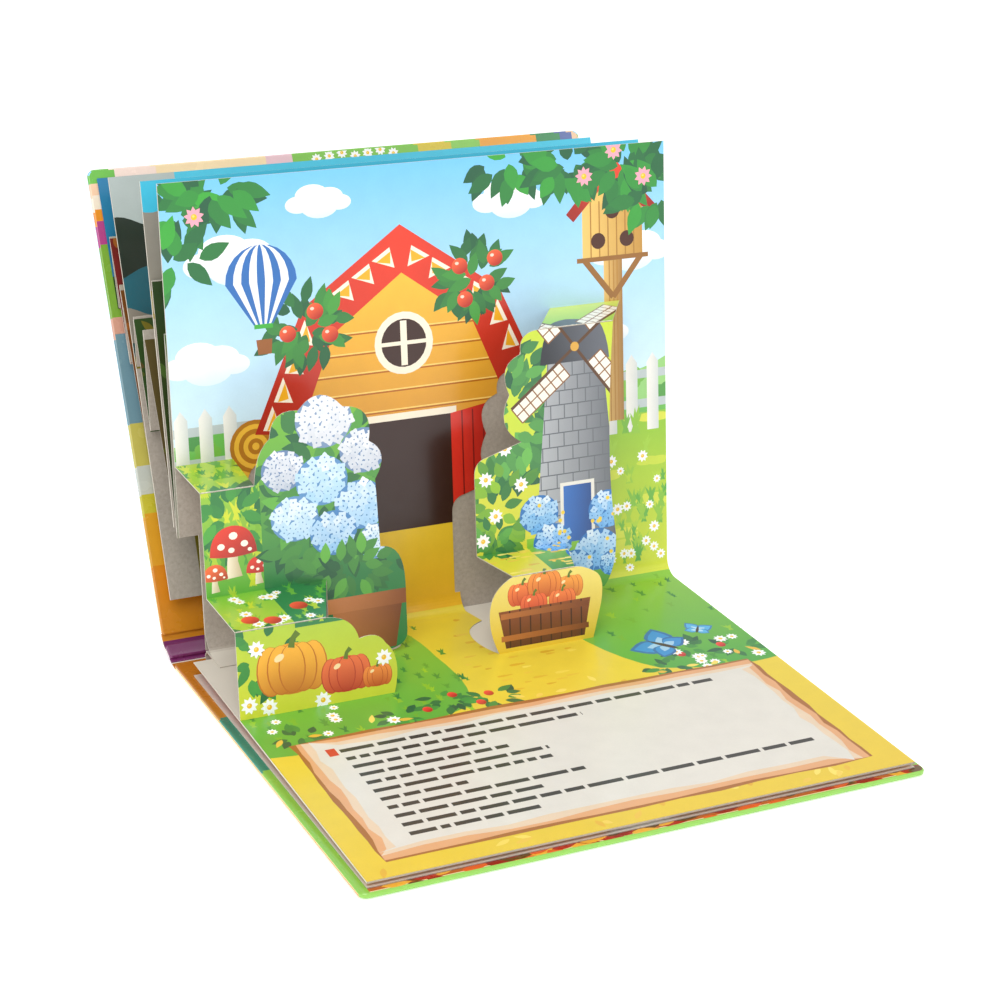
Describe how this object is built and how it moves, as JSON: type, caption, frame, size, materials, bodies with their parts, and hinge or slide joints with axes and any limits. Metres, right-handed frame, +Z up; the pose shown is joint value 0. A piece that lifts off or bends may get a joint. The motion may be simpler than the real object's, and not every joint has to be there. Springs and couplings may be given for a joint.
{
  "type": "pop-up book",
  "caption": "Landscape pop-up book lying on its back cover, open about a right angle, with folded card stairs and towers standing between the upper and lower page",
  "frame": {"origin": "under the middle of the open book, on the surface that it stands on", "axes": "+X along the spine to the reader's right, +Y towards the spine and the standing pages, +Z up"},
  "size_m": [0.2292, 0.3004, 0.1975],
  "materials": {
    "back_cover": "semi-gloss printed wrap over grey board",
    "spine": "semi-gloss printed wrap over grey board",
    "front_cover": "semi-gloss printed wrap over grey board",
    "pages": "coated card, printed on one side, bare grey-tan back"
  },
  "bodies": {
    "block": {"back_cover": "back_cover", "pages": "pages"},
    "spine": {"spine": "spine"},
    "front_cover": {"front_cover": "front_cover"}
  },
  "joints": [
    {"name": "spine_hinge", "type": "hinge", "parent": "block", "child": "spine", "pos_m": [0, 0.05231, 0], "axis": [-1, 0, 0], "range_deg": [0, 22]},
    {"name": "front_cover_hinge", "type": "hinge", "parent": "spine", "child": "front_cover", "pos_m": [0, 0.06473, 0.00502], "axis": [-1, 0, 0], "range_deg": [0, 42.5]}
  ]
}
